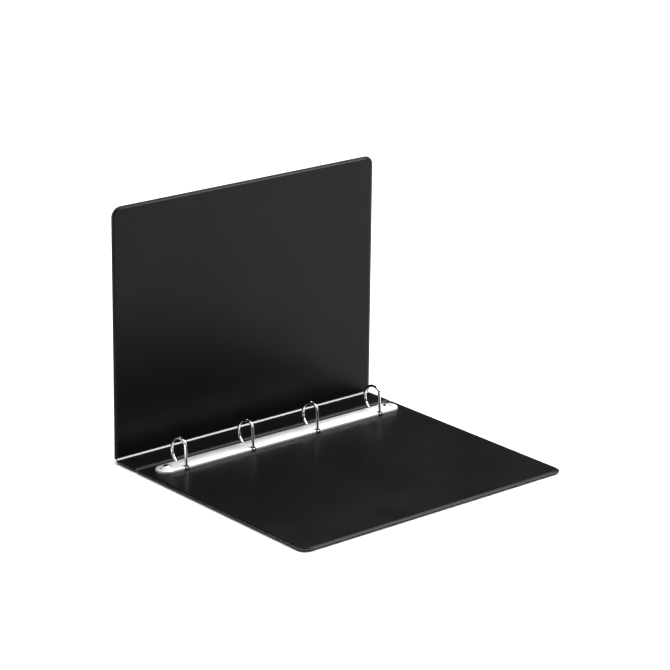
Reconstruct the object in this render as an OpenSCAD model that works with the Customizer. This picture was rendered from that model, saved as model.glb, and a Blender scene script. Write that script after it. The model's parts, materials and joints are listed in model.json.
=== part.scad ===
// Four-ring D-ring presentation binder, standing open.
// The back cover and the spine lie flat, the front cover stands upright and the rings are shut.
// X runs from the spine to the back cover's free edge, Y along the spine, Z up.
// The origin is the middle of the open binder's footprint.

/* [Covers] */
// Height of the covers, measured along the spine
cover_height = 317; // [305:1:330]
// Width of each cover, from its fold to its free edge
cover_width = 249; // [235:1:270]
// Distance between the two folds, the width of the spine
spine_pitch = 33.8; // [33.8:0.2:50]
// Radius of the covers' free corners
corner_r = 10; // [5:1:16]
// Radius of the corners beside a fold, which leave a small notch
fold_corner_r = 1.6; // [1:0.1:2]
// Thickness of the stiffening board in each panel
board_t = 2; // [1.6:0.1:2.6]
// Thickness of each plastic sheet welded round the boards
sheet_t = 0.4; // [0.3:0.05:0.5]
// Width of the welded rim outside each board
weld_rim = 2.6; // [2:0.1:4]
// Half width of the welded strip at each fold
fold_strip = 3.3; // [2.8:0.1:4]

/* [Clear pockets] */
// Thickness of the clear film
film_t = 0.2; // [0.15:0.05:0.3]
// Room for a paper insert behind the film
pocket_gap = 0.2; // [0.15:0.05:0.3]
// Distance from the welded rim down to the film's open top edge
pocket_drop = 3; // [2:0.5:8]

/* [Ring housing] */
// Distance from the back fold to the middle of the housing
housing_offset = 19.5; // [19.5:0.1:24]
// Width of the arched housing
housing_w = 19.2; // [19:0.1:20]
// Thickness of the housing's steel
housing_t = 0.8; // [0.6:0.1:0.9]
// Height of the housing's crown above the inner sheet
crown_h = 4.6; // [4.5:0.1:5.5]
// Height of the housing's long edges above the inner sheet
edge_h = 2.8; // [2.7:0.1:3]
// Distance from each end of the spine to the housing's rounded end
housing_end = 10.6; // [8:0.2:14]

/* [Rings] */
// Number of rings
ring_count = 4; // [2:2:4]
// Distance from one ring to the next
ring_pitch = 80; // [70:1:80]
// Radius of the ring wire
wire_r = 1.4; // [1.2:0.05:1.4]
// Radius of the big curve of the ring, to the middle of the wire
ring_r = 13.3; // [12.8:0.1:13.3]
// Height of the big curve's centre above the inner sheet
ring_mid_h = 14.5; // [14:0.1:14.5]
// Lean of the straight leg away from upright, in degrees
leg_lean = 3.5; // [2:0.5:5]

/* [Hidden] */

$fn = 64;
eps = 0.01;
far = 400;

// Sheets, counted outwards from the middle of a panel
half_board = board_t / 2;
half_panel = half_board + sheet_t;
half_stack = half_panel + pocket_gap + film_t;

// A web of solid plastic lies on each fold; the cover's sheets start a little way from it
web_r = 0.4;
web_clearance = 0.3;
web_end = 2;

// Each panel is [sheet start, sheet end, raised start, raised end, free corner radius]
cover_panel = [web_r + web_clearance, cover_width, fold_strip, cover_width - weld_rim, corner_r];
spine_panel = [web_r, spine_pitch - web_r, fold_strip, spine_pitch - fold_strip, fold_corner_r];
film_edge = 0.5;
pocket_weld = 1;

// Positions before the shift to the origin: the front fold is at x = 0
back_fold_x = spine_pitch;
fold_z = half_stack;
inner_z = fold_z + half_panel;
housing_x = back_fold_x + housing_offset;
model_middle = [(back_fold_x + cover_width - half_stack) / 2, cover_height / 2, 0];

// Housing section: an arch between two upright edges, with lips below that carry the leaves
housing_half = housing_w / 2;
arch_rise = crown_h - edge_h;
arch_r = (housing_half ^ 2 + arch_rise ^ 2) / (2 * arch_rise);
arch_z = crown_h - arch_r;
lip_t = 0.4;
lip_w = 2.2;
housing_end_y = housing_end + housing_half;
locating_hole_r = 1.3;
locating_hole_in = 4.2;

// Rivets: a shank, a domed head above and a flat head let into the board
rivet_y = housing_end + 11.4;
shank_r = 1.6;
shank_bore_r = 1.7;
dome_r = 4.4;
dome_h = 1.9;
dome_seat_z = crown_h - 0.4;
flat_head_r = 4.4;
flat_head_t = 0.6;
sleeve_r = 3.5;
sleeve_h = arch_z + sqrt((arch_r - housing_t) ^ 2 - sleeve_r ^ 2) - eps;

// Leaves: two blades that turn on their outer edges
leaf_t = 1;
leaf_z = 0.8;
pivot_x = 8;
pivot_z = leaf_z + leaf_t / 2;
leaf_gap = 0.4;
leaf_end = housing_end + 20.4;
lug_x = 10;
lug_half = 2.2;
notch_x = 6.3;
notch_half = 2.7;

// Rings, in the housing's own X and Z; the halves meet above and a little spine-side of the middle
foot_x = 8.3;
foot_z = 0.5;
bend_r = 2.5;
bulge = 6;
ring_mid = [-foot_x - bulge + ring_r, ring_mid_h];
bend_bead = 0.02;
tip_gap = 0.3;
tip_turn = asin(tip_gap / 2 / ring_r);
shoulder_r = 3.8;
pin_h = 1.1;
pin_r = 0.75;
pin_end_r = 0.5;
socket_r = 1;
socket_h = 1.5;

// The curved half's foot bends outwards into the big curve
bend_mid = [
    -foot_x - bend_r,
    ring_mid.y - sqrt((ring_r + bend_r) ^ 2 - (-foot_x - bend_r - ring_mid.x) ^ 2)
];
bend_turn = atan2(ring_mid.y - bend_mid.y, ring_mid.x - bend_mid.x);

// The straight half keeps to the big curve, then a tighter shoulder turns it down the leg
function heading(a) = [cos(a), sin(a)];
shoulder_reach = ring_r - shoulder_r;
shoulder_turn = leg_lean + acos(
    (foot_x - ring_mid.x - shoulder_r * cos(leg_lean)
        - tan(leg_lean) * (ring_mid.y + shoulder_r * sin(leg_lean) - foot_z))
    * cos(leg_lean) / shoulder_reach);
shoulder_mid = ring_mid + shoulder_reach * heading(shoulder_turn);
leg_top = shoulder_mid + shoulder_r * heading(leg_lean);

function ring_y(n) = cover_height / 2 + (n - (ring_count + 1) / 2) * ring_pitch;

// ---- Placing ----

module at_origin() {
    translate(-model_middle) children();
}

module on_back() {
    at_origin() translate([back_fold_x, 0, fold_z]) children();
}

module on_spine() {
    at_origin() translate([0, 0, fold_z]) children();
}

// The front cover mirrors the back cover and stands upright on the front fold
module on_front() {
    at_origin() translate([0, 0, fold_z]) rotate([0, 90, 0]) mirror([1, 0, 0]) children();
}

module in_housing(y = 0) {
    at_origin() translate([housing_x, y, inner_z]) children();
}

module at_rings() {
    for (n = [1 : ring_count]) translate([0, ring_y(n), 0]) children();
}

// ---- Panels ----

// What a corner loses when it is rounded; the corner lies at the origin
module corner_waste(r) {
    difference() {
        translate([-eps, -eps]) square(r + eps);
        translate([r, r]) circle(r);
    }
}

// A rectangle with rounded corners, r_free towards +X and r_fold towards the fold
module rounded(x0, x1, y0, y1, r_fold, r_free) {
    difference() {
        translate([x0, y0]) square([x1 - x0, y1 - y0]);
        translate([x0, y0]) corner_waste(r_fold);
        translate([x0, y1]) mirror([0, 1]) corner_waste(r_fold);
        translate([x1, y0]) mirror([1, 0]) corner_waste(r_free);
        translate([x1, y1]) mirror([1, 0]) mirror([0, 1]) corner_waste(r_free);
    }
}

module sheet_outline(panel, inset = 0) {
    rounded(panel[0] + inset, panel[1] - inset, inset, cover_height - inset,
        fold_corner_r, panel[4]);
}

module raised_outline(panel, grow = 0) {
    free_r = max(panel[4] - weld_rim, fold_corner_r);
    rounded(panel[2] - grow, panel[3] + grow, weld_rim - grow, cover_height - weld_rim + grow,
        fold_corner_r + grow, free_r + grow);
}

module board(panel) {
    translate([0, 0, -half_board]) linear_extrude(board_t) raised_outline(panel, -sheet_t);
}

// A formed sheet: a flat rim in the panel's middle plane and a raised field over the board
module sheet(panel) {
    difference() {
        union() {
            linear_extrude(sheet_t) sheet_outline(panel);
            linear_extrude(half_panel) raised_outline(panel);
        }
        translate([0, 0, -eps]) linear_extrude(half_board + eps) raised_outline(panel, -sheet_t);
    }
}

// The clear film follows the sheet, stands off it over the field and is open along its top edge
module clear_pocket(panel) {
    slot_x = panel[2] + pocket_weld;
    slot_y = weld_rim + pocket_weld;
    film_top = cover_height - weld_rim - pocket_drop;
    difference() {
        union() {
            translate([0, 0, sheet_t]) linear_extrude(film_t) sheet_outline(panel, film_edge);
            translate([0, 0, sheet_t]) linear_extrude(half_stack - sheet_t)
                raised_outline(panel, film_t);
        }
        linear_extrude(half_panel) raised_outline(panel);
        translate([slot_x, slot_y, half_panel - eps])
            cube([panel[3] - pocket_weld - slot_x, far, pocket_gap + eps]);
        translate([-far / 2, film_top, 0]) cube([2 * far, far, far]);
    }
}

module fold_web(x) {
    color("#1b1b1d")
        at_origin() translate([x, web_end, fold_z]) rotate([-90, 0, 0])
            cylinder(h = cover_height - 2 * web_end, r = web_r);
}

// ---- Back cover and housing ----

module at_rivets() {
    translate([0, rivet_y, 0]) children();
    translate([0, cover_height - rivet_y, 0]) children();
}

module back_board() {
    color("#6b6256") difference() {
        on_back() board(cover_panel);
        in_housing() at_rivets() translate([0, 0, -far / 2]) cylinder(h = far, r = shank_bore_r);
        in_housing() at_rivets() translate([0, 0, -half_panel - half_board - eps])
            cylinder(h = flat_head_t + eps, r = flat_head_r);
    }
}

module back_inner_sheet() {
    color("#1b1b1d") difference() {
        on_back() sheet(cover_panel);
        in_housing() at_rivets() translate([0, 0, -half_panel + eps])
            cylinder(h = far, r = shank_bore_r);
    }
}

module back_outer_sheet() {
    color("#1b1b1d") on_back() mirror([0, 0, 1]) sheet(cover_panel);
}

module back_clear_pocket() {
    color("#34353a") on_back() mirror([0, 0, 1]) clear_pocket(cover_panel);
}

// The whole section of the housing, seen along Y
module housing_section() {
    difference() {
        intersection() {
            translate([-housing_half, 0]) square([housing_w, crown_h + 1]);
            translate([0, arch_z]) circle(arch_r, $fn = 256);
        }
        intersection() {
            translate([-housing_half + housing_t, -eps])
                square([housing_w - 2 * housing_t, crown_h]);
            translate([0, arch_z]) circle(arch_r - housing_t, $fn = 256);
        }
    }
    for (side = [0, 1]) mirror([side, 0]) translate([housing_half - lip_w, 0]) square([lip_w, lip_t]);
}

module housing_end_cap() {
    rotate([0, 0, 180]) rotate_extrude(angle = 180) intersection() {
        housing_section();
        square([housing_w, crown_h + 1]);
    }
}

module ring_housing() {
    color("#d9dadd") in_housing() difference() {
        union() {
            translate([0, cover_height - housing_end_y, 0]) rotate([90, 0, 0])
                linear_extrude(cover_height - 2 * housing_end_y) housing_section();
            translate([0, housing_end_y, 0]) housing_end_cap();
            translate([0, cover_height - housing_end_y, 0]) mirror([0, 1, 0]) housing_end_cap();
        }
        at_rivets() cylinder(h = far, r = shank_bore_r);
        at_rivets() translate([0, 0, dome_seat_z]) cylinder(h = far, r = dome_r);
        for (y = [housing_end + locating_hole_in, cover_height - housing_end - locating_hole_in])
            translate([0, y, 1]) cylinder(h = far, r = locating_hole_r);
        at_rings() for (side = [0, 1]) mirror([side, 0, 0])
            translate([notch_x, -notch_half, -eps]) cube([lug_x, 2 * notch_half, far]);
    }
}

// Domed head: a flat bottom and a spherical cap
module dome() {
    cap_r = (dome_r ^ 2 + dome_h ^ 2) / (2 * dome_h);
    intersection() {
        cylinder(h = dome_h, r = dome_r);
        translate([0, 0, dome_h - cap_r]) sphere(cap_r, $fn = 128);
    }
}

module rivet(y) {
    color("#cfd0d3") in_housing(y) {
        translate([0, 0, -half_panel - half_board]) cylinder(h = flat_head_t, r = flat_head_r);
        translate([0, 0, -half_panel - half_board])
            cylinder(h = half_panel + half_board + dome_seat_z + eps, r = shank_r);
        translate([0, 0, dome_seat_z]) dome();
    }
}

module rivet_sleeve(y) {
    color("#b9bbc0") in_housing(y) difference() {
        cylinder(h = sleeve_h, r = sleeve_r);
        translate([0, 0, -eps]) cylinder(h = far, r = shank_bore_r);
    }
}

// ---- Leaves and rings ----

// Wire along an arc in the XZ plane
module wire_arc(mid, r, from, to) {
    translate([mid.x, 0, mid.y]) rotate([90, 0, 0]) rotate([0, 0, from])
        rotate_extrude(angle = to - from) translate([r, 0]) circle(wire_r, $fn = 32);
}

// Wire from p in a straight line, at an angle above +X
module wire_line(p, angle, len) {
    translate([p.x, 0, p.y]) rotate([0, 90 - angle, 0]) cylinder(h = len, r = wire_r, $fn = 32);
}

module curved_foot(extra = 0) {
    wire_line([-foot_x, foot_z], 90, bend_mid.y - foot_z + extra);
}

// A bead a hair wider than the wire, where two stretches of it meet
module bead(p) {
    translate([p.x, 0, p.y]) sphere(wire_r + bend_bead, $fn = 32);
}

module curved_half() {
    tip = ring_mid + ring_r * heading(90 + tip_turn);
    curved_foot();
    bead([-foot_x, bend_mid.y]);
    wire_arc(bend_mid, bend_r, 0, bend_turn);
    bead(bend_mid + bend_r * heading(bend_turn));
    wire_arc(ring_mid, ring_r, 90 + tip_turn, 180 + bend_turn);
    translate([tip.x, 0, tip.y]) rotate([0, 90 - tip_turn, 0]) {
        translate([0, 0, -pin_h]) cylinder(h = pin_h + eps, r = pin_r, $fn = 32);
        cylinder(h = pin_h, r1 = pin_r, r2 = pin_end_r, $fn = 32);
    }
}

module straight_foot() {
    wire_line(leg_top, leg_lean - 90, (leg_top.y - foot_z) / cos(leg_lean));
}

module straight_half() {
    tip = ring_mid + ring_r * heading(90 - tip_turn);
    difference() {
        union() {
            wire_arc(ring_mid, ring_r, shoulder_turn, 90 - tip_turn);
            bead(ring_mid + ring_r * heading(shoulder_turn));
            wire_arc(shoulder_mid, shoulder_r, leg_lean, shoulder_turn);
            bead(leg_top);
            straight_foot();
        }
        translate([tip.x - eps, 0, tip.y]) rotate([0, 90 + tip_turn, 0])
            cylinder(h = socket_h, r = socket_r, $fn = 32);
    }
}

// The page-side blade before its ring holes are made
module blade() {
    translate([leaf_gap / 2, leaf_end, leaf_z])
        cube([pivot_x - leaf_gap / 2, cover_height - 2 * leaf_end, leaf_t]);
    translate([pivot_x, leaf_end, pivot_z]) rotate([-90, 0, 0])
        cylinder(h = cover_height - 2 * leaf_end, r = leaf_t / 2);
    at_rings() translate([pivot_x - 1, -lug_half, leaf_z])
        cube([lug_x - pivot_x + 1, 2 * lug_half, leaf_t]);
}

module page_side_leaf() {
    color("#a9abb0") in_housing() difference() {
        blade();
        at_rings() straight_foot();
    }
}

module spine_side_leaf() {
    color("#a9abb0") in_housing() difference() {
        mirror([1, 0, 0]) blade();
        at_rings() curved_foot(1);
    }
}

module curved_ring(n) {
    if (n <= ring_count) color("#e2e3e6") in_housing(ring_y(n)) curved_half();
}

module straight_ring(n) {
    if (n <= ring_count) color("#e2e3e6") in_housing(ring_y(n)) straight_half();
}

// ---- Spine and front cover ----

module spine_board() {
    color("#6b6256") on_spine() board(spine_panel);
}

module spine_inner_sheet() {
    color("#1b1b1d") on_spine() sheet(spine_panel);
}

module spine_outer_sheet() {
    color("#1b1b1d") on_spine() mirror([0, 0, 1]) sheet(spine_panel);
}

module spine_clear_pocket() {
    color("#34353a") on_spine() mirror([0, 0, 1]) clear_pocket(spine_panel);
}

module front_board() {
    color("#6b6256") on_front() board(cover_panel);
}

module front_inner_sheet() {
    color("#1b1b1d") on_front() sheet(cover_panel);
}

module front_outer_sheet() {
    color("#1b1b1d") on_front() mirror([0, 0, 1]) sheet(cover_panel);
}

module front_clear_pocket() {
    color("#34353a") on_front() mirror([0, 0, 1]) clear_pocket(cover_panel);
}

back_board();
back_inner_sheet();
back_outer_sheet();
back_clear_pocket();
ring_housing();
rivet(rivet_y);  // near_rivet
rivet(cover_height - rivet_y);  // far_rivet
rivet_sleeve(rivet_y);  // near_rivet_sleeve
rivet_sleeve(cover_height - rivet_y);  // far_rivet_sleeve
spine_board();
spine_inner_sheet();
spine_outer_sheet();
spine_clear_pocket();
fold_web(0);  // front_fold_web
fold_web(back_fold_x);  // back_fold_web
front_board();
front_inner_sheet();
front_outer_sheet();
front_clear_pocket();
spine_side_leaf();
curved_ring(1);  // curved_ring_1
curved_ring(2);  // curved_ring_2
curved_ring(3);  // curved_ring_3
curved_ring(4);  // curved_ring_4
page_side_leaf();
straight_ring(1);  // straight_ring_1
straight_ring(2);  // straight_ring_2
straight_ring(3);  // straight_ring_3
straight_ring(4);  // straight_ring_4
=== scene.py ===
import bmesh
import bpy
import json
import math
from mathutils import Matrix, Vector, noise


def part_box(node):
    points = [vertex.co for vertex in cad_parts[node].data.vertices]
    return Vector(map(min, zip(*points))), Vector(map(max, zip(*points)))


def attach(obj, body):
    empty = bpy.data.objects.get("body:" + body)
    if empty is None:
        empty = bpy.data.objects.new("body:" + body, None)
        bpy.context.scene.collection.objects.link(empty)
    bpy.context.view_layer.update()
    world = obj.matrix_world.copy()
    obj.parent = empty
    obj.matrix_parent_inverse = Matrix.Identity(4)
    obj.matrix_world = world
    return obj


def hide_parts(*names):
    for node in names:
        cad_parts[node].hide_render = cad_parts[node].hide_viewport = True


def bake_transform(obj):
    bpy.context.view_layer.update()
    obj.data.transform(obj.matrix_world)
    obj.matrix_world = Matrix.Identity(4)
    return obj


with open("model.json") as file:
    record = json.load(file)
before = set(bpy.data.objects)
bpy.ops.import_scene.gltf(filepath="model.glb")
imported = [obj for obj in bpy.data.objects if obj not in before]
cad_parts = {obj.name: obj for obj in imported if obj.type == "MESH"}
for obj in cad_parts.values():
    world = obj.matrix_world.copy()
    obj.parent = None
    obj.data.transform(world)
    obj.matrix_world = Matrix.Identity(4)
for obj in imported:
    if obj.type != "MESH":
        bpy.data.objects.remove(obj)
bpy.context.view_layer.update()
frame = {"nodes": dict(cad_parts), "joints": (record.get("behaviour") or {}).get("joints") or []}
mm = 0.001
up = Vector((0, 0, 1))
along = Vector((0, 1, 0))  # the spine's direction
across = Vector((1, 0, 0))
joints = {j["name"]: Vector(j["pos_m"]) for j in frame["joints"]}
frontFold, backFold = joints["front_fold"], joints["back_fold"]
sheetLow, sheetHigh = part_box("back_inner_sheet")
coverLength = (sheetHigh.y - sheetLow.y) / mm
coverWidth = (sheetHigh.x - backFold.x) / mm
spinePitch = (backFold.x - frontFold.x) / mm
nearEnd = sheetLow.y
innerZ = sheetHigh.z
print("frame loaded", round(coverLength), "x", round(coverWidth), "mm covers")


# ---- camera, studio and lights ----

cameraSet = {"place": (1.862, -1.580, 0.943), "lens": 148.5, "yaw": 139.79, "pitch": 18.37, "roll": 0.69}
studio = {
    "floorColor": (0.92, 0.92, 0.92, 1),
    "backdrop": 1.0,  # what the camera sees past the floor
    "skyLow": 0.02,  # soft light from the sides
    "skyHigh": 0.20,  # soft light from above
    "wash": 2.7,  # the even overhead light
    "washFrom": (-0.25, 0.15, 1.0),
    "washSoftness": 75,  # degrees across
}
lamps = [  # name, place, aims at, which way its long side lies, length, height, watts
    ("keyBox", (0.45, 1.03, 1.30), (0, 0, 0.0), (1, 0, -0.3), 2.4, 0.7, 50),
    ("frontBox", (0.4, -1.9, 1.3), (0, 0, 0.1), (1, 0, 0), 1.2, 0.8, 5),
]


def aim(obj, place, target, side=(1, 0, 0)):
    back = (Vector(place) - Vector(target)).normalized()
    level = (Vector(side) - back * back.dot(Vector(side))).normalized()
    turned = Matrix((level, back.cross(level), back)).transposed().to_4x4()
    obj.matrix_world = Matrix.Translation(place) @ turned


def makeCamera():
    data = bpy.data.cameras.new("camera")
    data.lens, data.sensor_width = cameraSet["lens"], 36
    data.clip_start, data.clip_end = 0.05, 60
    data.dof.use_dof = False
    camera = bpy.data.objects.new("camera", data)
    bpy.context.scene.collection.objects.link(camera)
    yaw, pitch, roll = (math.radians(cameraSet[k]) for k in ("yaw", "pitch", "roll"))
    look = Vector((math.cos(pitch) * math.cos(yaw), math.cos(pitch) * math.sin(yaw), -math.sin(pitch)))
    right = Vector((math.sin(yaw), -math.cos(yaw), 0))
    top = right.cross(look)
    rolled = math.cos(roll) * right + math.sin(roll) * top
    turned = Matrix((rolled, rolled.cross(look), -look)).transposed().to_4x4()
    camera.matrix_world = Matrix.Translation(cameraSet["place"]) @ turned
    bpy.context.scene.camera = camera


def makeStudio():
    scene = bpy.context.scene
    scene.view_settings.view_transform = "Standard"
    world = bpy.data.worlds.new("studioWorld")
    scene.world = world
    world.use_nodes = True
    nodes, links = world.node_tree.nodes, world.node_tree.links
    nodes.clear()
    out = nodes.new("ShaderNodeOutputWorld")
    coords = nodes.new("ShaderNodeTexCoord")
    split = nodes.new("ShaderNodeSeparateXYZ")
    ramp = nodes.new("ShaderNodeMapRange")
    ramp.interpolation_type = "SMOOTHSTEP"
    ramp.inputs["From Min"].default_value = 0.2
    ramp.inputs["From Max"].default_value = 0.85
    ramp.inputs["To Min"].default_value = studio["skyLow"]
    ramp.inputs["To Max"].default_value = studio["skyHigh"]
    sky = nodes.new("ShaderNodeBackground")
    plain = nodes.new("ShaderNodeBackground")
    plain.inputs["Strength"].default_value = studio["backdrop"]
    path = nodes.new("ShaderNodeLightPath")
    mix = nodes.new("ShaderNodeMixShader")
    links.new(coords.outputs["Generated"], split.inputs[0])
    links.new(split.outputs["Z"], ramp.inputs["Value"])
    links.new(ramp.outputs["Result"], sky.inputs["Strength"])
    links.new(path.outputs["Is Camera Ray"], mix.inputs[0])
    links.new(sky.outputs[0], mix.inputs[1])
    links.new(plain.outputs[0], mix.inputs[2])
    links.new(mix.outputs[0], out.inputs["Surface"])
    bpy.ops.mesh.primitive_plane_add(size=40, location=(0, 0, -0.0002))
    floor = bpy.context.object
    floor.name = "studioFloor"
    paint = bpy.data.materials.new("studioFloor")
    paint.use_nodes = True
    bsdf = paint.node_tree.nodes["Principled BSDF"]
    bsdf.inputs["Base Color"].default_value = studio["floorColor"]
    bsdf.inputs["Roughness"].default_value = 0.9
    bsdf.inputs["Specular IOR Level"].default_value = 0.1
    floor.data.materials.append(paint)
    wash = bpy.data.lights.new("wash", "SUN")
    wash.energy, wash.angle = studio["wash"], math.radians(studio["washSoftness"])
    overhead = bpy.data.objects.new("wash", wash)
    scene.collection.objects.link(overhead)
    aim(overhead, studio["washFrom"], (0, 0, 0))
    for name, place, target, side, width, height, watts in lamps:
        data = bpy.data.lights.new(name, "AREA")
        data.shape, data.size, data.size_y, data.energy = "RECTANGLE", width, height, watts
        lamp = bpy.data.objects.new(name, data)
        scene.collection.objects.link(lamp)
        aim(lamp, place, target, side)


# ---- shader groups that several finishes share ----

def newGroup(name, inputs, outputs):
    group = bpy.data.node_groups.new(name, "ShaderNodeTree")
    for label, value in inputs:
        socket = group.interface.new_socket(name=label, in_out="INPUT", socket_type="NodeSocketFloat")
        socket.default_value = value
    for label in outputs:
        group.interface.new_socket(name=label, in_out="OUTPUT", socket_type="NodeSocketFloat")
    return group, group.nodes.new("NodeGroupInput"), group.nodes.new("NodeGroupOutput")


def objectNoise(group, feed, detail, kind="ShaderNodeTexNoise"):
    coords = group.nodes.new("ShaderNodeTexCoord")
    texture = group.nodes.new(kind)
    if kind == "ShaderNodeTexNoise":
        texture.inputs["Detail"].default_value = detail
    group.links.new(coords.outputs["Object"], texture.inputs["Vector"])
    group.links.new(feed, texture.inputs["Scale"])
    return texture


def mathNode(tree, operation, a, b, clamp=False):
    node = tree.nodes.new("ShaderNodeMath")
    node.operation, node.use_clamp = operation, clamp
    for socket, value in zip(node.inputs, (a, b)):
        if isinstance(value, (int, float)):
            socket.default_value = value
        else:
            tree.links.new(value, socket)
    return node.outputs[0]


def makeBlotches():  # large soft patches, as in film laid over board
    group, feed, out = newGroup("softBlotches", [("Scale", 14), ("Contrast", 2)], ["Mask"])
    wide = objectNoise(group, feed.outputs["Scale"], 2)
    reach = mathNode(group, "DIVIDE", 0.5, feed.outputs["Contrast"])
    spread = group.nodes.new("ShaderNodeMapRange")
    spread.interpolation_type = "SMOOTHSTEP"
    group.links.new(wide.outputs["Fac"], spread.inputs["Value"])
    group.links.new(mathNode(group, "SUBTRACT", 0.5, reach), spread.inputs["From Min"])
    group.links.new(mathNode(group, "ADD", 0.5, reach), spread.inputs["From Max"])
    group.links.new(spread.outputs["Result"], out.inputs["Mask"])
    return group


def makeGrain():  # the fine pebble pressed into plastic film, or the lay of rolled metal
    group, feed, out = newGroup("fineGrain", [("Scale", 2500), ("Softness", 0.5)], ["Height"])
    pebble = objectNoise(group, feed.outputs["Scale"], 0, "ShaderNodeTexVoronoi")
    pebble.feature = "SMOOTH_F1"
    group.links.new(feed.outputs["Softness"], pebble.inputs["Smoothness"])
    coarse = objectNoise(group, mathNode(group, "MULTIPLY", feed.outputs["Scale"], 0.3), 3)
    both = mathNode(group, "ADD", pebble.outputs["Distance"], coarse.outputs["Fac"])
    group.links.new(both, out.inputs["Height"])
    return group


def makeEdgeWear():  # where hands and shelves rub: the piece's own rim attribute, broken up
    group, feed, out = newGroup("edgeWear", [("Amount", 0.5), ("Scale", 90)], ["Mask"])
    rim = group.nodes.new("ShaderNodeAttribute")
    rim.attribute_name = "rim"
    broken = objectNoise(group, feed.outputs["Scale"], 4)
    rubbed = mathNode(group, "MULTIPLY", rim.outputs["Fac"], broken.outputs["Fac"])
    mask = mathNode(group, "MULTIPLY", rubbed, feed.outputs["Amount"], clamp=True)
    group.links.new(mask, out.inputs["Mask"])
    return group


groups = {"softBlotches": makeBlotches(), "fineGrain": makeGrain(), "edgeWear": makeEdgeWear()}


def placeGroup(tree, name, **values):
    node = tree.nodes.new("ShaderNodeGroup")
    node.node_tree = groups[name]
    for label, value in values.items():
        node.inputs[label].default_value = value
    return node


def mapTo(tree, value, low, high):
    node = tree.nodes.new("ShaderNodeMapRange")
    node.inputs["To Min"].default_value, node.inputs["To Max"].default_value = low, high
    tree.links.new(value, node.inputs["Value"])
    return node.outputs["Result"]


def blendColors(tree, mask, first, second):
    node = tree.nodes.new("ShaderNodeMix")
    node.data_type = "RGBA"
    tree.links.new(mask, node.inputs[0])
    node.inputs[6].default_value, node.inputs[7].default_value = (*first, 1), (*second, 1)
    return node.outputs[2]


def addBump(tree, bsdf, height, depth):
    bump = tree.nodes.new("ShaderNodeBump")
    bump.inputs["Strength"].default_value = 1
    bump.inputs["Distance"].default_value = depth
    tree.links.new(height, bump.inputs["Height"])
    tree.links.new(bump.outputs[0], bsdf.inputs["Normal"])


def newMaterial(name):
    material = bpy.data.materials.new(name)
    material.use_nodes = True
    return material, material.node_tree, material.node_tree.nodes["Principled BSDF"]


# ---- finishes ----

plasticFinish = {
    "dark": (0.0020, 0.0019, 0.0027),
    "worn": (0.05, 0.05, 0.056),
    "sheen": (0.92, 0.90, 1, 1),
    "grainScale": 2600,
    "grainDepth": 0.000008,
}
metalFinish = {"bright": (0.86, 0.855, 0.84), "dull": (0.62, 0.61, 0.60)}


def makePlastic(name, roughLow, roughHigh, gloss=0.13, coat=0.0, grain=1.0, wear=0.5, blotch=14):
    material, tree, bsdf = newMaterial(name)
    wearMask = placeGroup(tree, "edgeWear", Amount=wear, Scale=160).outputs["Mask"]
    color = blendColors(tree, wearMask, plasticFinish["dark"], plasticFinish["worn"])
    tree.links.new(color, bsdf.inputs["Base Color"])
    patches = placeGroup(tree, "softBlotches", Scale=blotch, Contrast=1.8).outputs["Mask"]
    tree.links.new(mapTo(tree, patches, roughLow, roughHigh), bsdf.inputs["Roughness"])
    bsdf.inputs["Specular IOR Level"].default_value = gloss
    bsdf.inputs["Specular Tint"].default_value = plasticFinish["sheen"]
    bsdf.inputs["Coat Weight"].default_value = coat
    bsdf.inputs["Coat Roughness"].default_value = 0.16
    pebbles = placeGroup(tree, "fineGrain", Scale=plasticFinish["grainScale"], Softness=0.6)
    pebble = pebbles.outputs["Height"]
    addBump(tree, bsdf, pebble, plasticFinish["grainDepth"] * grain)
    return material


def makeFilm():
    material, tree, bsdf = newMaterial("clearFilm")
    patches = placeGroup(tree, "softBlotches", Scale=26, Contrast=2.2).outputs["Mask"]
    tree.links.new(mapTo(tree, patches, 0.15, 0.26), bsdf.inputs["Roughness"])
    color = blendColors(tree, patches, (0.88, 0.87, 0.90), (0.97, 0.96, 0.98))
    tree.links.new(color, bsdf.inputs["Base Color"])
    bsdf.inputs["Transmission Weight"].default_value = 1
    bsdf.inputs["Specular Tint"].default_value = plasticFinish["sheen"]
    bsdf.inputs["IOR"].default_value = 1.2
    haze = placeGroup(tree, "fineGrain", Scale=900, Softness=0.9).outputs["Height"]
    addBump(tree, bsdf, haze, 0.000006)
    return material


def makeMetal(name, roughLow, roughHigh, brightness=1.0, grainDepth=0.000003):
    material, tree, bsdf = newMaterial(name)
    patches = placeGroup(tree, "softBlotches", Scale=60, Contrast=2.5).outputs["Mask"]
    bright = tuple(c * brightness for c in metalFinish["bright"])
    color = blendColors(tree, patches, bright, tuple(0.93 * c for c in bright))
    tree.links.new(color, bsdf.inputs["Base Color"])
    bsdf.inputs["Metallic"].default_value = 1
    tree.links.new(mapTo(tree, patches, roughLow, roughHigh), bsdf.inputs["Roughness"])
    grain = placeGroup(tree, "fineGrain", Scale=3500, Softness=0.8).outputs["Height"]
    addBump(tree, bsdf, grain, grainDepth)
    return material


def makeBoard():
    material, tree, bsdf = newMaterial("greyBoard")
    patches = placeGroup(tree, "softBlotches", Scale=220, Contrast=3).outputs["Mask"]
    color = blendColors(tree, patches, (0.30, 0.27, 0.23), (0.40, 0.36, 0.31))
    tree.links.new(color, bsdf.inputs["Base Color"])
    tree.links.new(mapTo(tree, patches, 0.8, 0.95), bsdf.inputs["Roughness"])
    fibre = placeGroup(tree, "fineGrain", Scale=1500, Softness=0.3).outputs["Height"]
    addBump(tree, bsdf, fibre, 0.00004)
    return material


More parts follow.
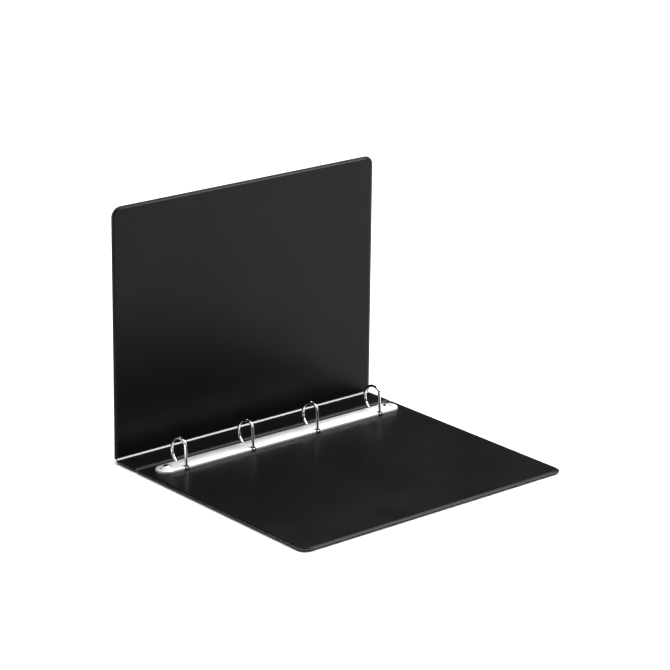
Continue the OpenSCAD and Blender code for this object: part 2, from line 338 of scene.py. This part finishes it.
finishes = {
    "inner": makePlastic("blackPlastic", 0.28, 0.36),
    "outer": makePlastic("blackPlasticOutside", 0.29, 0.40),
    "weld": makePlastic("weldedPlastic", 0.28, 0.38, gloss=0.9, coat=1.0, grain=0.4, wear=0.2),
    "film": makeFilm(),
    "wire": makeMetal("nickelWire", 0.10, 0.20),
    "housing": makeMetal("nickelHousing", 0.60, 0.68, 0.90),
    # the rivet's nickel is darkened to 0.55 of the wire's as a painted dark reflection, standing in for the
    # dark surroundings the shiny dome mirrors
    "rivet": makeMetal("nickelRivetPaintedDarkReflection", 0.10, 0.18, 0.55),
    # the leaves' steel is darkened to 0.28 as painted shade, so the leaf lugs in the housing's notches read
    # as the dark gap there
    "steel": makeMetal("steelPaintedShade", 0.34, 0.46, 0.28),
    "board": makeBoard(),
}
print("finishes made")


# ---- meshes ----

def addPiece(name, points, faces, finish, sharp=35, rims=None):
    mesh = bpy.data.meshes.new(name)
    mesh.from_pydata(points, [], faces)
    if rims:
        mesh.attributes.new("rim", "FLOAT", "POINT").data.foreach_set("value", rims)
    piece = bpy.data.objects.new(name, mesh)
    bpy.context.scene.collection.objects.link(piece)
    tidyMesh(mesh, sharp)
    mesh.materials.append(finishes[finish])
    return piece


def tidyMesh(mesh, sharp, merge=2e-7):  # closes seams, turns faces outward and marks the sharp edges
    shape = bmesh.new()
    shape.from_mesh(mesh)
    bmesh.ops.remove_doubles(shape, verts=shape.verts, dist=merge)
    bmesh.ops.recalc_face_normals(shape, faces=shape.faces)
    for face in shape.faces:
        face.smooth = True
    for edge in shape.edges:
        edge.smooth = len(edge.link_faces) == 2 and edge.calc_face_angle(0) < math.radians(sharp)
    shape.to_mesh(mesh)
    shape.free()


def gridFaces(rows, columns, offset=0, loop=False):
    across = range(columns if loop else columns - 1)
    corner = lambda i, j: offset + i * columns + j % columns
    return [(corner(i, j), corner(i + 1, j), corner(i + 1, j + 1), corner(i, j + 1))
            for i in range(rows - 1) for j in across]


def shellFaces(rows, columns):  # two grids of the same size, one above the other, closed by walls
    count = rows * columns
    faces = gridFaces(rows, columns) + [tuple(reversed(f)) for f in gridFaces(rows, columns, count)]
    rim = [i * columns for i in range(rows)]
    rim += [(rows - 1) * columns + j for j in range(1, columns)]
    rim += [i * columns + columns - 1 for i in range(rows - 2, -1, -1)]
    rim += list(range(columns - 2, 0, -1))
    for a, b in zip(rim, rim[1:] + rim[:1]):
        faces.append((a, b, b + count, a + count))
    return faces


def applyModifiers(piece):
    shown = piece.evaluated_get(bpy.context.evaluated_depsgraph_get())
    made = bpy.data.meshes.new_from_object(shown)
    piece.modifiers.clear()
    piece.data = made


# ---- panels: sheets, film and weld ----

# Each panel lies in its own plane: u runs from its fold, v along the spine, w towards the inside
panels = {
    "back": {"fold": backFold, "u": across, "w": up, "body": "back_cover", "width": coverWidth},
    "spine": {"fold": frontFold, "u": across, "w": up, "body": "spine", "width": spinePitch},
    "front": {"fold": frontFold, "u": up, "w": across, "body": "front_cover", "width": coverWidth},
}
sheetSet = {  # all in millimetres
    "thick": 0.4,
    "corner": 10.0,
    "board": 1.0,  # half the board's thickness
    "rampStart": 1.5,  # where the film starts to climb the board's edge, in from a free edge
    "rampEnd": 2.6,
    "foldRamp": 2.7,
    "foldEnd": 3.3,
    "grooveAt": 1.0,
    "grooveWide": 0.32,
    "groove": 0.13,
    "edgeRound": 0.12,
    "ripple": 0.12,
    "rippleSize": 52,
    "housingAt": 19.5,  # the film lies flat under the housing
    "step": 5.5,
}
freeLines = [0, 0.1, 0.3, 0.55, 0.7, 0.85, 1.0, 1.15, 1.3, 1.5, 1.68, 1.86]
freeLines += [2.05, 2.24, 2.42, 2.6, 2.85, 3.4, 4.6, 7, 10]
foldLines = [2.4, 2.6, 2.74, 2.88, 3.02, 3.16, 3.3, 3.5, 4.2, 6, 9]


def smooth(x):
    x = max(0.0, min(1.0, x))
    return x * x * (3 - 2 * x)


def bell(x, middle, width):
    return math.exp(-((x - middle) / width) ** 2)


def gridLines(length, low, high, step):  # fine lines at both ends, even ones between
    last = length - high[-1]
    count = max(1, round((last - low[-1]) / step))
    between = [low[-1] + (last - low[-1]) * i / count for i in range(1, count)]
    return low + between + [length - d for d in reversed(high)]


def intoCorner(a, b, radius):  # bends lines that run along two edges round the corner between them
    if a >= radius or b >= radius:
        return a, b
    reach = radius - min(a, b)
    run = (radius - b) / (2 * reach) if a <= b else 1 - (radius - a) / (2 * reach)
    angle = run * math.pi / 2
    return radius - reach * math.cos(angle), radius - reach * math.sin(angle)


def panelPoint(panel, u, v, w):
    place = panel["fold"] + (panel["u"] * u + panel["w"] * w) * mm
    return Vector((place.x, nearEnd + v * mm, place.z))


def edgeDistances(panel, u, v):  # to the nearest free edge and to the nearest fold
    toEnd = min(v, coverLength - v)
    if panel["body"] == "spine":
        return toEnd, min(u, panel["width"] - u), toEnd
    return min(toEnd, panel["width"] - u), u, toEnd


def placeOnPanel(panel, u, v):  # the outline's round corners
    if panel["body"] == "spine":
        return u, v
    toEnd, toSide = min(v, coverLength - v), panel["width"] - u
    toEnd, toSide = intoCorner(toEnd, toSide, sheetSet["corner"])
    return panel["width"] - toSide, toEnd if v < coverLength / 2 else coverLength - toEnd


def rippleAt(u, v, seed, size, amount):
    broad = noise.noise(Vector((u / size, v / size, seed)))
    fine = noise.noise(Vector((u / size * 2.7, v / size * 2.7, seed + 9)))
    return amount * (broad + 0.35 * fine)


def sheetHeight(panel, u, v, side, seed):
    free, fold, _ = edgeDistances(panel, u, v)
    s = sheetSet
    climb = smooth((free - s["rampStart"]) / (s["rampEnd"] - s["rampStart"]))
    climb = min(climb, smooth((fold - s["foldRamp"]) / (s["foldEnd"] - s["foldRamp"])))
    groove = s["groove"] * bell(free, s["grooveAt"], s["grooveWide"])
    low = -s["edgeRound"] * (1 - smooth(free / 0.3)) - groove
    inward = smooth((min(free, fold) - 3) / 12)
    if panel["body"] == "back_cover":
        inward *= smooth((abs(u - s["housingAt"]) - 10) / 14)
    if side < 0:
        inward *= 0.5
    wave = inward * rippleAt(u, v, seed, s["rippleSize"], s["ripple"])
    return s["thick"] + s["board"] * climb + low + wave


def rimValue(panel, u, v):
    free, fold, toEnd = edgeDistances(panel, u, v)
    nearCorner = bell(toEnd, 0, 24) * (1 if panel["body"] == "spine" else bell(panel["width"] - u, 0, 24))
    edge = max(1 - free / 0.5, 0) + 0.7 * bell(free, 2.8, 0.5)
    return min(1.0, edge * (0.35 + 0.65 * nearCorner))


def panelLines(panel):
    vs = gridLines(coverLength, freeLines, freeLines, sheetSet["step"])
    sides = foldLines if panel["body"] == "spine" else freeLines
    return gridLines(panel["width"], foldLines, sides, sheetSet["step"]), vs


def makeSheet(name, key, side, seed, replaced):
    panel = panels[key]
    us, vs = panelLines(panel)
    outer, inner, rims = [], [], []
    for u in us:
        for v in vs:
            pu, pv = placeOnPanel(panel, u, v)
            height = sheetHeight(panel, u, v, side, seed)
            under = max(0.0, height - sheetSet["thick"])
            outer.append(panelPoint(panel, pu, pv, side * height))
            inner.append(panelPoint(panel, pu, pv, side * under))
            rims.append(rimValue(panel, u, v))
    faces = shellFaces(len(us), len(vs))
    finish = "inner" if side > 0 else "outer"
    piece = addPiece(name, outer + inner, faces, finish, 50, rims + rims)
    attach(piece, panel["body"])
    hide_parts(replaced)


def makeSheets():
    for seed, key in enumerate(panels):
        makeSheet(key + "InnerSheet", key, 1, seed * 3.7, key + "_inner_sheet")
        makeSheet(key + "OuterSheet", key, -1, seed * 3.7 + 20, key + "_outer_sheet")
    print("sheets made")


# ---- hinge strips: the welded bands between the panels ----

stripSet = {
    "half": 3.2,  # half the band's width
    "bend": 3.0,  # the radius it turns through where a cover stands up
    "thin": 0.36,  # half its thickness in the middle
    "thick": 0.45,
    "notch": 0.8,  # how far its ends step back
    "firm": 2.4,  # how far the band reaches from its fold before it is firm
    "ripple": 0.03,
}


def bentLine():  # from the spine, round the bend and up the front cover: a, b and the inward normal
    r, half = stripSet["bend"], stripSet["half"]
    line = [(half, 0, 0, 1), (half - 0.2, 0, 0, 1)]
    for i in range(13):
        turn = math.radians(7.5 * i)
        line.append((r - r * math.sin(turn), r - r * math.cos(turn), math.sin(turn), math.cos(turn)))
    return line + [(0, half - 0.2, 1, 0), (0, half, 1, 0)]


def flatLine():
    half = stripSet["half"]
    return [(half - half * i / 8, 0, 0, 1) for i in range(17)]


def makeStrip(name, fold, line, seed, replaced):
    s = stripSet
    vs = gridLines(coverLength, [0, 0.15, 0.4, 0.9, 2, 4], [0, 0.15, 0.4, 0.9, 2, 4], 6)
    inner, outer = [], []
    for i, (a, b, na, nb) in enumerate(line):
        run = 2 * i / (len(line) - 1) - 1  # -1 at one side of the band, 1 at the other
        back = s["notch"] * (1 - run * run)
        half = s["thin"] + (s["thick"] - s["thin"]) * smooth((abs(run) - 0.55) / 0.35)
        for v in vs:
            placeY = back + (coverLength - 2 * back) * v / coverLength
            toEnd = min(v, coverLength - v)
            slim = half * (1 - 0.35 * (1 - smooth(toEnd / 0.5)))
            wave = rippleAt(run * 4, v, seed, 17, s["ripple"]) * smooth(toEnd / 6) * (1 - run ** 4)
            for points, offset in ((inner, slim + wave), (outer, -slim + wave)):
                x, z = (a + na * offset) * mm, (b + nb * offset) * mm
                points.append(fold + Vector((x, nearEnd + placeY * mm - fold.y, z)))
    piece = addPiece(name, inner + outer, shellFaces(len(line), len(vs)), "weld", 60)
    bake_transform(piece)
    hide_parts(replaced)


def makeStrips():
    makeStrip("frontHingeStrip", frontFold, bentLine(), 3, "front_fold_web")
    makeStrip("backHingeStrip", backFold, flatLine(), 5, "back_fold_web")
    print("hinge strips made")


# ---- clear pockets ----

filmSet = {
    "thick": 0.12,
    "raised": 1.72,  # from the panel's middle to the film's outer face
    "welded": 0.56,
    "climbStart": 1.3,  # where it leaves the weld, in from a free edge
    "climbEnd": 3.4,
    "foldClimb": 2.55,  # the same, in from a fold
    "foldRun": 1.1,
    "openEdge": 5.6,  # the open top stops short of the panel's end
    "ripple": 0.07,
    "rippleSize": 38,
}
filmLines = [0.55, 0.8, 1.1, 1.35, 1.6, 1.85, 2.1, 2.35, 2.6, 2.85, 3.1, 3.4, 4.2, 6, 10]
filmFoldLines = [2.5, 2.62, 2.76, 2.9, 3.05, 3.2, 3.35, 3.5, 3.8, 4.6, 6.5, 9.5]


def filmHeight(panel, u, v, seed):
    f = filmSet
    side, fold = panel["width"] - u, u
    if panel["body"] == "spine":
        side, fold = 99, min(u, panel["width"] - u)
    climb = smooth((min(v, side) - f["climbStart"]) / (f["climbEnd"] - f["climbStart"]))
    climb = min(climb, smooth((fold - f["foldClimb"]) / f["foldRun"]))
    wave = climb * rippleAt(u, v, seed, f["rippleSize"], f["ripple"])
    return f["welded"] + (f["raised"] - f["welded"]) * climb + wave


def makePocket(key, seed):
    panel = panels[key]
    sides = filmFoldLines if key == "spine" else filmLines
    us = gridLines(panel["width"], filmFoldLines, sides, 6)
    vs = gridLines(coverLength - filmSet["openEdge"], filmLines, [0, 0.3, 1, 3, 6], 6)
    outer, inner = [], []
    for u in us:
        for v in vs:
            pu, pv = u, v
            if key != "spine" and v < 20:
                side, pv = intoCorner(panel["width"] - u, v, sheetSet["corner"])
                pu = panel["width"] - side
            height = filmHeight(panel, u, v, seed)
            outer.append(panelPoint(panel, pu, pv, -height))
            inner.append(panelPoint(panel, pu, pv, filmSet["thick"] - height))
    faces = shellFaces(len(us), len(vs))
    piece = addPiece(key + "ClearPocket", outer + inner, faces, "film", 50)
    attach(piece, panel["body"])
    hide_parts(key + "_clear_pocket")


# ---- weld ribs: the knurled line that a heated bar leaves ----

ribSet = {
    "pitch": 1.7,
    "long": 1.05,
    "wide": 1.15,
    "outside": 0.42,
    "inside": 0.3,
    "at": 1.0,
    "level": 0.3,
    "clear": 3.0,  # the row stops this far from a fold
}


def ribNodes():
    group = bpy.data.node_groups.new("weldRibs", "GeometryNodeTree")
    sockets = [("Path", "INPUT", "NodeSocketGeometry"), ("Pitch", "INPUT", "NodeSocketFloat"),
               ("Size", "INPUT", "NodeSocketVector"), ("Facing", "INPUT", "NodeSocketVector"),
               ("Finish", "INPUT", "NodeSocketMaterial"), ("Ribs", "OUTPUT", "NodeSocketGeometry")]
    for label, way, kind in sockets:
        group.interface.new_socket(name=label, in_out=way, socket_type=kind)
    make = lambda kind: group.nodes.new(kind)
    feed, out = make("NodeGroupInput"), make("NodeGroupOutput")
    curve, spaced = make("GeometryNodeMeshToCurve"), make("GeometryNodeCurveToPoints")
    spaced.mode = "LENGTH"
    alongPath, facing = make("FunctionNodeAlignRotationToVector"), make("FunctionNodeAlignRotationToVector")
    alongPath.axis, facing.axis, facing.pivot_axis = "X", "Z", "X"
    block, rounded = make("GeometryNodeMeshCube"), make("GeometryNodeSubdivisionSurface")
    rounded.inputs["Level"].default_value = 1
    shade, placed = make("GeometryNodeSetShadeSmooth"), make("GeometryNodeInstanceOnPoints")
    real, paint = make("GeometryNodeRealizeInstances"), make("GeometryNodeSetMaterial")
    wires = [(feed, "Path", curve, "Mesh"), (curve, "Curve", spaced, "Curve"),
             (feed, "Pitch", spaced, "Length"), (spaced, "Points", placed, "Points"),
             (spaced, "Tangent", alongPath, "Vector"),
             (alongPath, "Rotation", facing, "Rotation"), (feed, "Facing", facing, "Vector"),
             (facing, "Rotation", placed, "Rotation"), (feed, "Size", block, "Size"),
             (block, "Mesh", rounded, "Mesh"), (rounded, "Mesh", shade, "Geometry"),
             (shade, "Geometry", placed, "Instance"), (placed, "Instances", real, "Geometry"),
             (real, "Geometry", paint, "Geometry"), (feed, "Finish", paint, "Material"),
             (paint, "Geometry", out, "Ribs")]
    for source, a, target, b in wires:
        group.links.new(source.outputs[a], target.inputs[b])
    return group


def ribPaths(key):  # lines of panel places that the ribs follow
    panel, d, length, start = panels[key], ribSet["at"], coverLength, ribSet["clear"]
    if key == "spine":
        stop = panel["width"] - start
        return [[(start, d), (stop, d)], [(start, length - d), (stop, length - d)]]
    r, width = sheetSet["corner"], panel["width"]
    path = [(start, d)]
    for mid, first in (((width - r, r), -90), ((width - r, length - r), 0)):
        for i in range(13):
            turn = math.radians(first + 7.5 * i)
            path.append((mid[0] + (r - d) * math.cos(turn), mid[1] + (r - d) * math.sin(turn)))
    return [path + [(start, length - d)]]


def makeRibs(name, key, side, high, level, nodes):
    panel, points, edges = panels[key], [], []
    for path in ribPaths(key):
        edges += [(len(points) + i, len(points) + i + 1) for i in range(len(path) - 1)]
        points += [panelPoint(panel, u, v, side * level) for u, v in path]
    mesh = bpy.data.meshes.new(name)
    mesh.from_pydata(points, edges, [])
    piece = bpy.data.objects.new(name, mesh)
    bpy.context.scene.collection.objects.link(piece)
    modifier = piece.modifiers.new("weldRibs", "NODES")
    modifier.node_group = nodes
    size = Vector((ribSet["long"], ribSet["wide"], high)) * mm
    values = {"Pitch": ribSet["pitch"] * mm, "Size": size, "Facing": panel["w"] * side}
    values["Finish"] = finishes["weld"]
    for item in nodes.interface.items_tree:
        if item.name in values:
            modifier[item.identifier] = values[item.name]
    applyModifiers(piece)
    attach(piece, panel["body"])


def makePockets():
    nodes = ribNodes()
    for seed, key in enumerate(panels):
        makePocket(key, seed * 5.1 + 40)
        makeRibs(key + "OuterWeldRibs", key, -1, ribSet["outside"], filmSet["welded"], nodes)
        makeRibs(key + "InnerWeldRibs", key, 1, ribSet["inside"], ribSet["level"], nodes)
    print("pockets and weld ribs made")


# ---- ring housing ----

housingLow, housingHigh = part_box("ring_housing")
axisX = (housingLow.x + housingHigh.x) / 2
ringYs = [(sum(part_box(f"straight_ring_{n}"), Vector()).y / 2 - nearEnd) / mm for n in (1, 2, 3, 4)]
housingSet = {
    "half": (housingHigh.x - housingLow.x) / 2 / mm,
    "crown": (housingHigh.z - innerZ) / mm,
    "arch": 26.5,  # radius of the arched top
    "steel": 0.8,
    "edgeTurn": 1.5,  # radius of its rolled edge
    "lip": 2.2,
    "lipThick": 0.4,
    "notchX": 6.3,
    "notchHalf": 2.7,
    "notchCorner": 0.9,
    "rivetY": 22.0,
    "rivetHole": 1.7,
    "pinY": 14.8,
    "pinHole": 1.3,
}


def atHousing(x, y, z):
    return Vector((axisX + x * mm, nearEnd + y * mm, innerZ + z * mm))


def archHeight(r, drop=0.0):
    h = housingSet
    radius = h["arch"] - drop
    return h["crown"] - h["arch"] + math.sqrt(radius ** 2 - r ** 2)


def housingSection():  # r and z, over the top, round the edge, along the lip and back under the arch
    h = housingSet
    half, turn, steel = h["half"], h["edgeTurn"], h["steel"]
    section = [(i, archHeight(i)) for i in (0, 1, 2, 3, 4, 5, 6, 7, 7.6)]
    lean = math.asin((half - turn) / (h["arch"] - turn))
    midZ = h["crown"] - h["arch"] + (h["arch"] - turn) * math.cos(lean)
    steps = 8
    for i in range(steps + 1):
        angle = math.pi / 2 - lean - (math.pi / 2 - lean) * i / steps
        section.append((half - turn + turn * math.cos(angle), midZ + turn * math.sin(angle)))
    section += [(half, 0.9), (half, 0.2), (half - 0.06, 0.06), (half - 0.2, 0)]
    section += [(half - h["lip"], 0), (half - h["lip"], h["lipThick"]), (half - steel - 0.3, h["lipThick"])]
    section += [(half - steel, h["lipThick"] + 0.3), (half - steel, midZ)]
    for i in range(1, 4):
        angle = (math.pi / 2 - lean) * i / 3
        x, z = (turn - steel) * math.cos(angle), (turn - steel) * math.sin(angle)
        section.append((half - turn + x, midZ + z))
    return section + [(r, archHeight(r, steel)) for r in (6, 4, 2, 0)]


def housingPath():  # places round the middle line: its y, and the direction that leads outward
    low = (housingLow.y - nearEnd) / mm + housingSet["half"]
    high = coverLength - low
    marks = sorted([low, high] + [y + d for y in ringYs for d in (-5, -1.5, 1.5, 5)])
    path = [(y, 1, 0) for y in marks]
    path += [(high, math.cos(a), math.sin(a)) for a in (math.radians(7.5 * i) for i in range(1, 24))]
    path += [(y, -1, 0) for y in reversed(marks)]
    path += [(low, math.cos(a), math.sin(a)) for a in (math.radians(180 + 7.5 * i) for i in range(1, 24))]
    return path


def roundedBlock(low, high, corner):  # a box whose upright edges are round
    shape = bmesh.new()
    bmesh.ops.create_cube(shape, size=1)
    middle, size = (low + high) / 2, high - low
    bmesh.ops.scale(shape, vec=size, verts=shape.verts)
    bmesh.ops.translate(shape, vec=middle, verts=shape.verts)
    upright = [e for e in shape.edges if abs(e.verts[0].co.z - e.verts[1].co.z) > size.z / 2]
    bmesh.ops.bevel(shape, geom=upright, offset=corner, segments=5, affect="EDGES", profile=0.5)
    mesh = bpy.data.meshes.new("cutter")
    shape.to_mesh(mesh)
    shape.free()
    return mesh


def drillMesh(middle, radius, depth):
    shape = bmesh.new()
    bmesh.ops.create_cone(shape, cap_ends=True, segments=32, radius1=radius, radius2=radius, depth=depth)
    bmesh.ops.translate(shape, vec=middle, verts=shape.verts)
    mesh = bpy.data.meshes.new("cutter")
    shape.to_mesh(mesh)
    shape.free()
    return mesh


def cutAway(piece, cutters, sharp):
    tools = bmesh.new()
    for mesh in cutters:
        tools.from_mesh(mesh)
        bpy.data.meshes.remove(mesh)
    mesh = bpy.data.meshes.new("cutters")
    tools.to_mesh(mesh)
    tools.free()
    tool = bpy.data.objects.new("cutters", mesh)
    bpy.context.scene.collection.objects.link(tool)
    modifier = piece.modifiers.new("cut", "BOOLEAN")
    modifier.operation, modifier.solver, modifier.object = "DIFFERENCE", "EXACT", tool
    applyModifiers(piece)
    bpy.data.objects.remove(tool)
    tidyMesh(piece.data, sharp, 1e-7)


def makeHousing():
    h = housingSet
    section, path = housingSection(), housingPath()
    points = [atHousing(r * x, y + r * v, z) for y, x, v in path for r, z in section]
    count = len(section)
    faces = []
    for i in range(len(path)):
        for j in range(count - 1):
            a, b = i * count, (i + 1) % len(path) * count
            faces.append((a + j, b + j, b + j + 1, a + j + 1))
    piece = addPiece("ringHousing", points, faces, "housing", 40)
    cutters = []
    for y in ringYs:
        for side in (-1, 1):
            xs = sorted((side * h["notchX"], side * (h["half"] + 2)))
            low, high = atHousing(xs[0], y - h["notchHalf"], -1), atHousing(xs[1], y + h["notchHalf"], 6)
            cutters.append(roundedBlock(low, high, h["notchCorner"] * mm))
    for y, radius in ((h["rivetY"], h["rivetHole"]), (h["pinY"], h["pinHole"])):
        for place in (y, coverLength - y):
            cutters.append(drillMesh(atHousing(0, place, 4), radius * mm, 6 * mm))
    cutAway(piece, cutters, 40)
    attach(piece, "back_cover")
    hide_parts("ring_housing")
    print("housing made")


# ---- rivets ----

rivetSet = {
    "seat": 4.2,
    "dome": 4.4,
    "rise": 1.9,
    "shank": 1.6,
    "foot": -2.4,
    "footHead": 4.4,
    "footThick": 0.6,
}


def makeRivet(name, y, replaced):
    r = rivetSet
    ball = (r["dome"] ** 2 + r["rise"] ** 2) / (2 * r["rise"])
    profile = [(0, r["seat"] + r["rise"])]
    for i in range(1, 13):
        x = (r["dome"] - 0.12) * i / 12
        profile.append((x, r["seat"] + r["rise"] - ball + math.sqrt(ball ** 2 - x * x)))
    profile += [(r["dome"], r["seat"] + 0.02), (r["dome"] - 0.05, r["seat"] - 0.1)]
    profile += [(r["dome"] - 0.4, r["seat"] - 0.15)]
    profile += [(r["shank"], r["seat"] - 0.15), (r["shank"], r["foot"] + r["footThick"])]
    profile += [(r["footHead"], r["foot"] + r["footThick"]), (r["footHead"], r["foot"]), (0, r["foot"])]
    turns = 48
    points = []
    for i in range(turns):
        angle = 2 * math.pi * i / turns
        points += [atHousing(x * math.cos(angle), y + x * math.sin(angle), z) for x, z in profile]
    faces = []
    for i in range(turns):
        for j in range(len(profile) - 1):
            a, b = i * len(profile) + j, (i + 1) % turns * len(profile) + j
            faces.append((a, b, b + 1, a + 1))
    piece = addPiece(name, points, faces, "rivet", 50)
    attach(piece, "back_cover")
    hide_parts(replaced)


# ---- rings ----

ringSet = {  # x and z from the housing's middle line and the inner sheet
    "wire": 1.4,
    "middle": (-1.0, 14.5),
    "radius": 13.3,
    "footX": 8.3,
    "footZ": 0.5,
    "bendMiddle": (-10.8, 2.11),
    "bendRadius": 2.5,
    "bendTurn": 51.7,
    "shoulderAt": 64.35,
    "shoulderRadius": 3.8,
    "lean": 3.5,
    "tip": 0.65,  # degrees that each tip stops short of the top
    "pin": 1.1,
    "socket": 1.5,
    "sides": 28,
}


def onArc(middle, radius, angle, way):  # x, z and the direction of travel
    turn = math.radians(angle)
    x, z = middle[0] + radius * math.cos(turn), middle[1] + radius * math.sin(turn)
    return x, z, -way * math.sin(turn), way * math.cos(turn)


def arcStations(middle, radius, first, last, step, wire):
    count = max(2, round(abs(last - first) / step))
    way = 1 if last > first else -1
    turns = [first + (last - first) * i / count for i in range(count + 1)]
    return [(*onArc(middle, radius, turn, way), wire) for turn in turns]


def footStations(x, z, direction, wire):  # a riveted foot and the collar above its leaf
    marks = [(0, wire - 0.25), (0.12, wire), (1.32, wire)]
    marks += [(1.38, wire + 0.22), (1.62, wire + 0.22), (1.75, wire)]
    return [(x + direction[0] * d, z + direction[1] * d, *direction, r) for d, r in marks]


def curvedStations():
    r = ringSet
    stations = footStations(-r["footX"], r["footZ"], (0, 1), r["wire"])
    stations = [s for s in stations if s[1] < r["bendMiddle"][1]]
    stations += arcStations(r["bendMiddle"], r["bendRadius"], 0, r["bendTurn"], 5, r["wire"])
    first, last = 180 + r["bendTurn"], 90 + r["tip"] + 0.7
    stations += arcStations(r["middle"], r["radius"], first, last, 2.5, r["wire"])[1:]
    x, z, dx, dz = onArc(r["middle"], r["radius"], 90 + r["tip"], -1)
    marks = [(0, r["wire"] - 0.14), (0.01, 0.8), (0.1, 0.75), (r["pin"] - 0.15, 0.55), (r["pin"], 0.4)]
    return stations + [(x + dx * d, z + dz * d, dx, dz, w) for d, w in marks]


def straightStations():
    r = ringSet
    x, z, dx, dz = onArc(r["middle"], r["radius"], 90 - r["tip"], -1)
    marks = [(r["socket"], 0.7), (0.3, 0.95), (0, 1.05), (0, r["wire"] - 0.14)]
    stations = [(x + dx * d, z + dz * d, dx, dz, w) for d, w in marks]
    stations += arcStations(r["middle"], r["radius"], 90 - r["tip"] - 0.7, r["shoulderAt"], 2.5, r["wire"])
    reach = r["radius"] - r["shoulderRadius"]
    bendX, bendZ, _, _ = onArc(r["middle"], reach, r["shoulderAt"], 1)
    bend = arcStations((bendX, bendZ), r["shoulderRadius"], r["shoulderAt"], r["lean"], 4, r["wire"])
    stations += bend[1:]
    rise = (bend[-1][2] * -1, bend[-1][3] * -1)
    foot = footStations(r["footX"], r["footZ"], rise, r["wire"])
    return stations + [(a, b, -c, -d, w) for a, b, c, d, w in reversed(foot)]


def makeRing(name, stations, y, body, replaced):
    sides = ringSet["sides"]
    points = []
    for x, z, dx, dz, wire in stations:
        for i in range(sides):
            turn = 2 * math.pi * i / sides
            side, out = wire * math.sin(turn), wire * math.cos(turn)
            points.append(atHousing(x - dz * out, y + side, z + dx * out))
    faces = gridFaces(len(stations), sides, 0, loop=True)
    for station, ring in ((stations[0], 0), (stations[-1], (len(stations) - 1) * sides)):
        points.append(atHousing(station[0], y, station[1]))
        faces += [(ring + i, ring + (i + 1) % sides, len(points) - 1) for i in range(sides)]
    piece = addPiece(name, points, faces, "wire", 38)
    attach(piece, body)
    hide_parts(replaced)


def makeMechanism():
    makeHousing()
    for name, y in (("near", housingSet["rivetY"]), ("far", coverLength - housingSet["rivetY"])):
        makeRivet(name + "Rivet", y, name + "_rivet")
    for n, y in enumerate(ringYs, 1):
        makeRing(f"curvedRing{n}", curvedStations(), y, "spine_side_leaf", f"curved_ring_{n}")
        makeRing(f"straightRing{n}", straightStations(), y, "page_side_leaf", f"straight_ring_{n}")
    print("rings made")


def finishNodes():  # the nodes that keep their own shape
    # leaves and sleeves take the steel that is darkened as painted shade
    chosen = {"board": "board", "leaf": "steel", "sleeve": "steel"}
    for name, node in frame["nodes"].items():
        for word, finish in chosen.items():
            if name.endswith(word):
                node.data.materials.clear()
                node.data.materials.append(finishes[finish])
                for face in node.data.polygons:
                    face.material_index = 0


makeCamera()
makeStudio()
makeSheets()
makeStrips()
makePockets()
makeMechanism()
finishNodes()
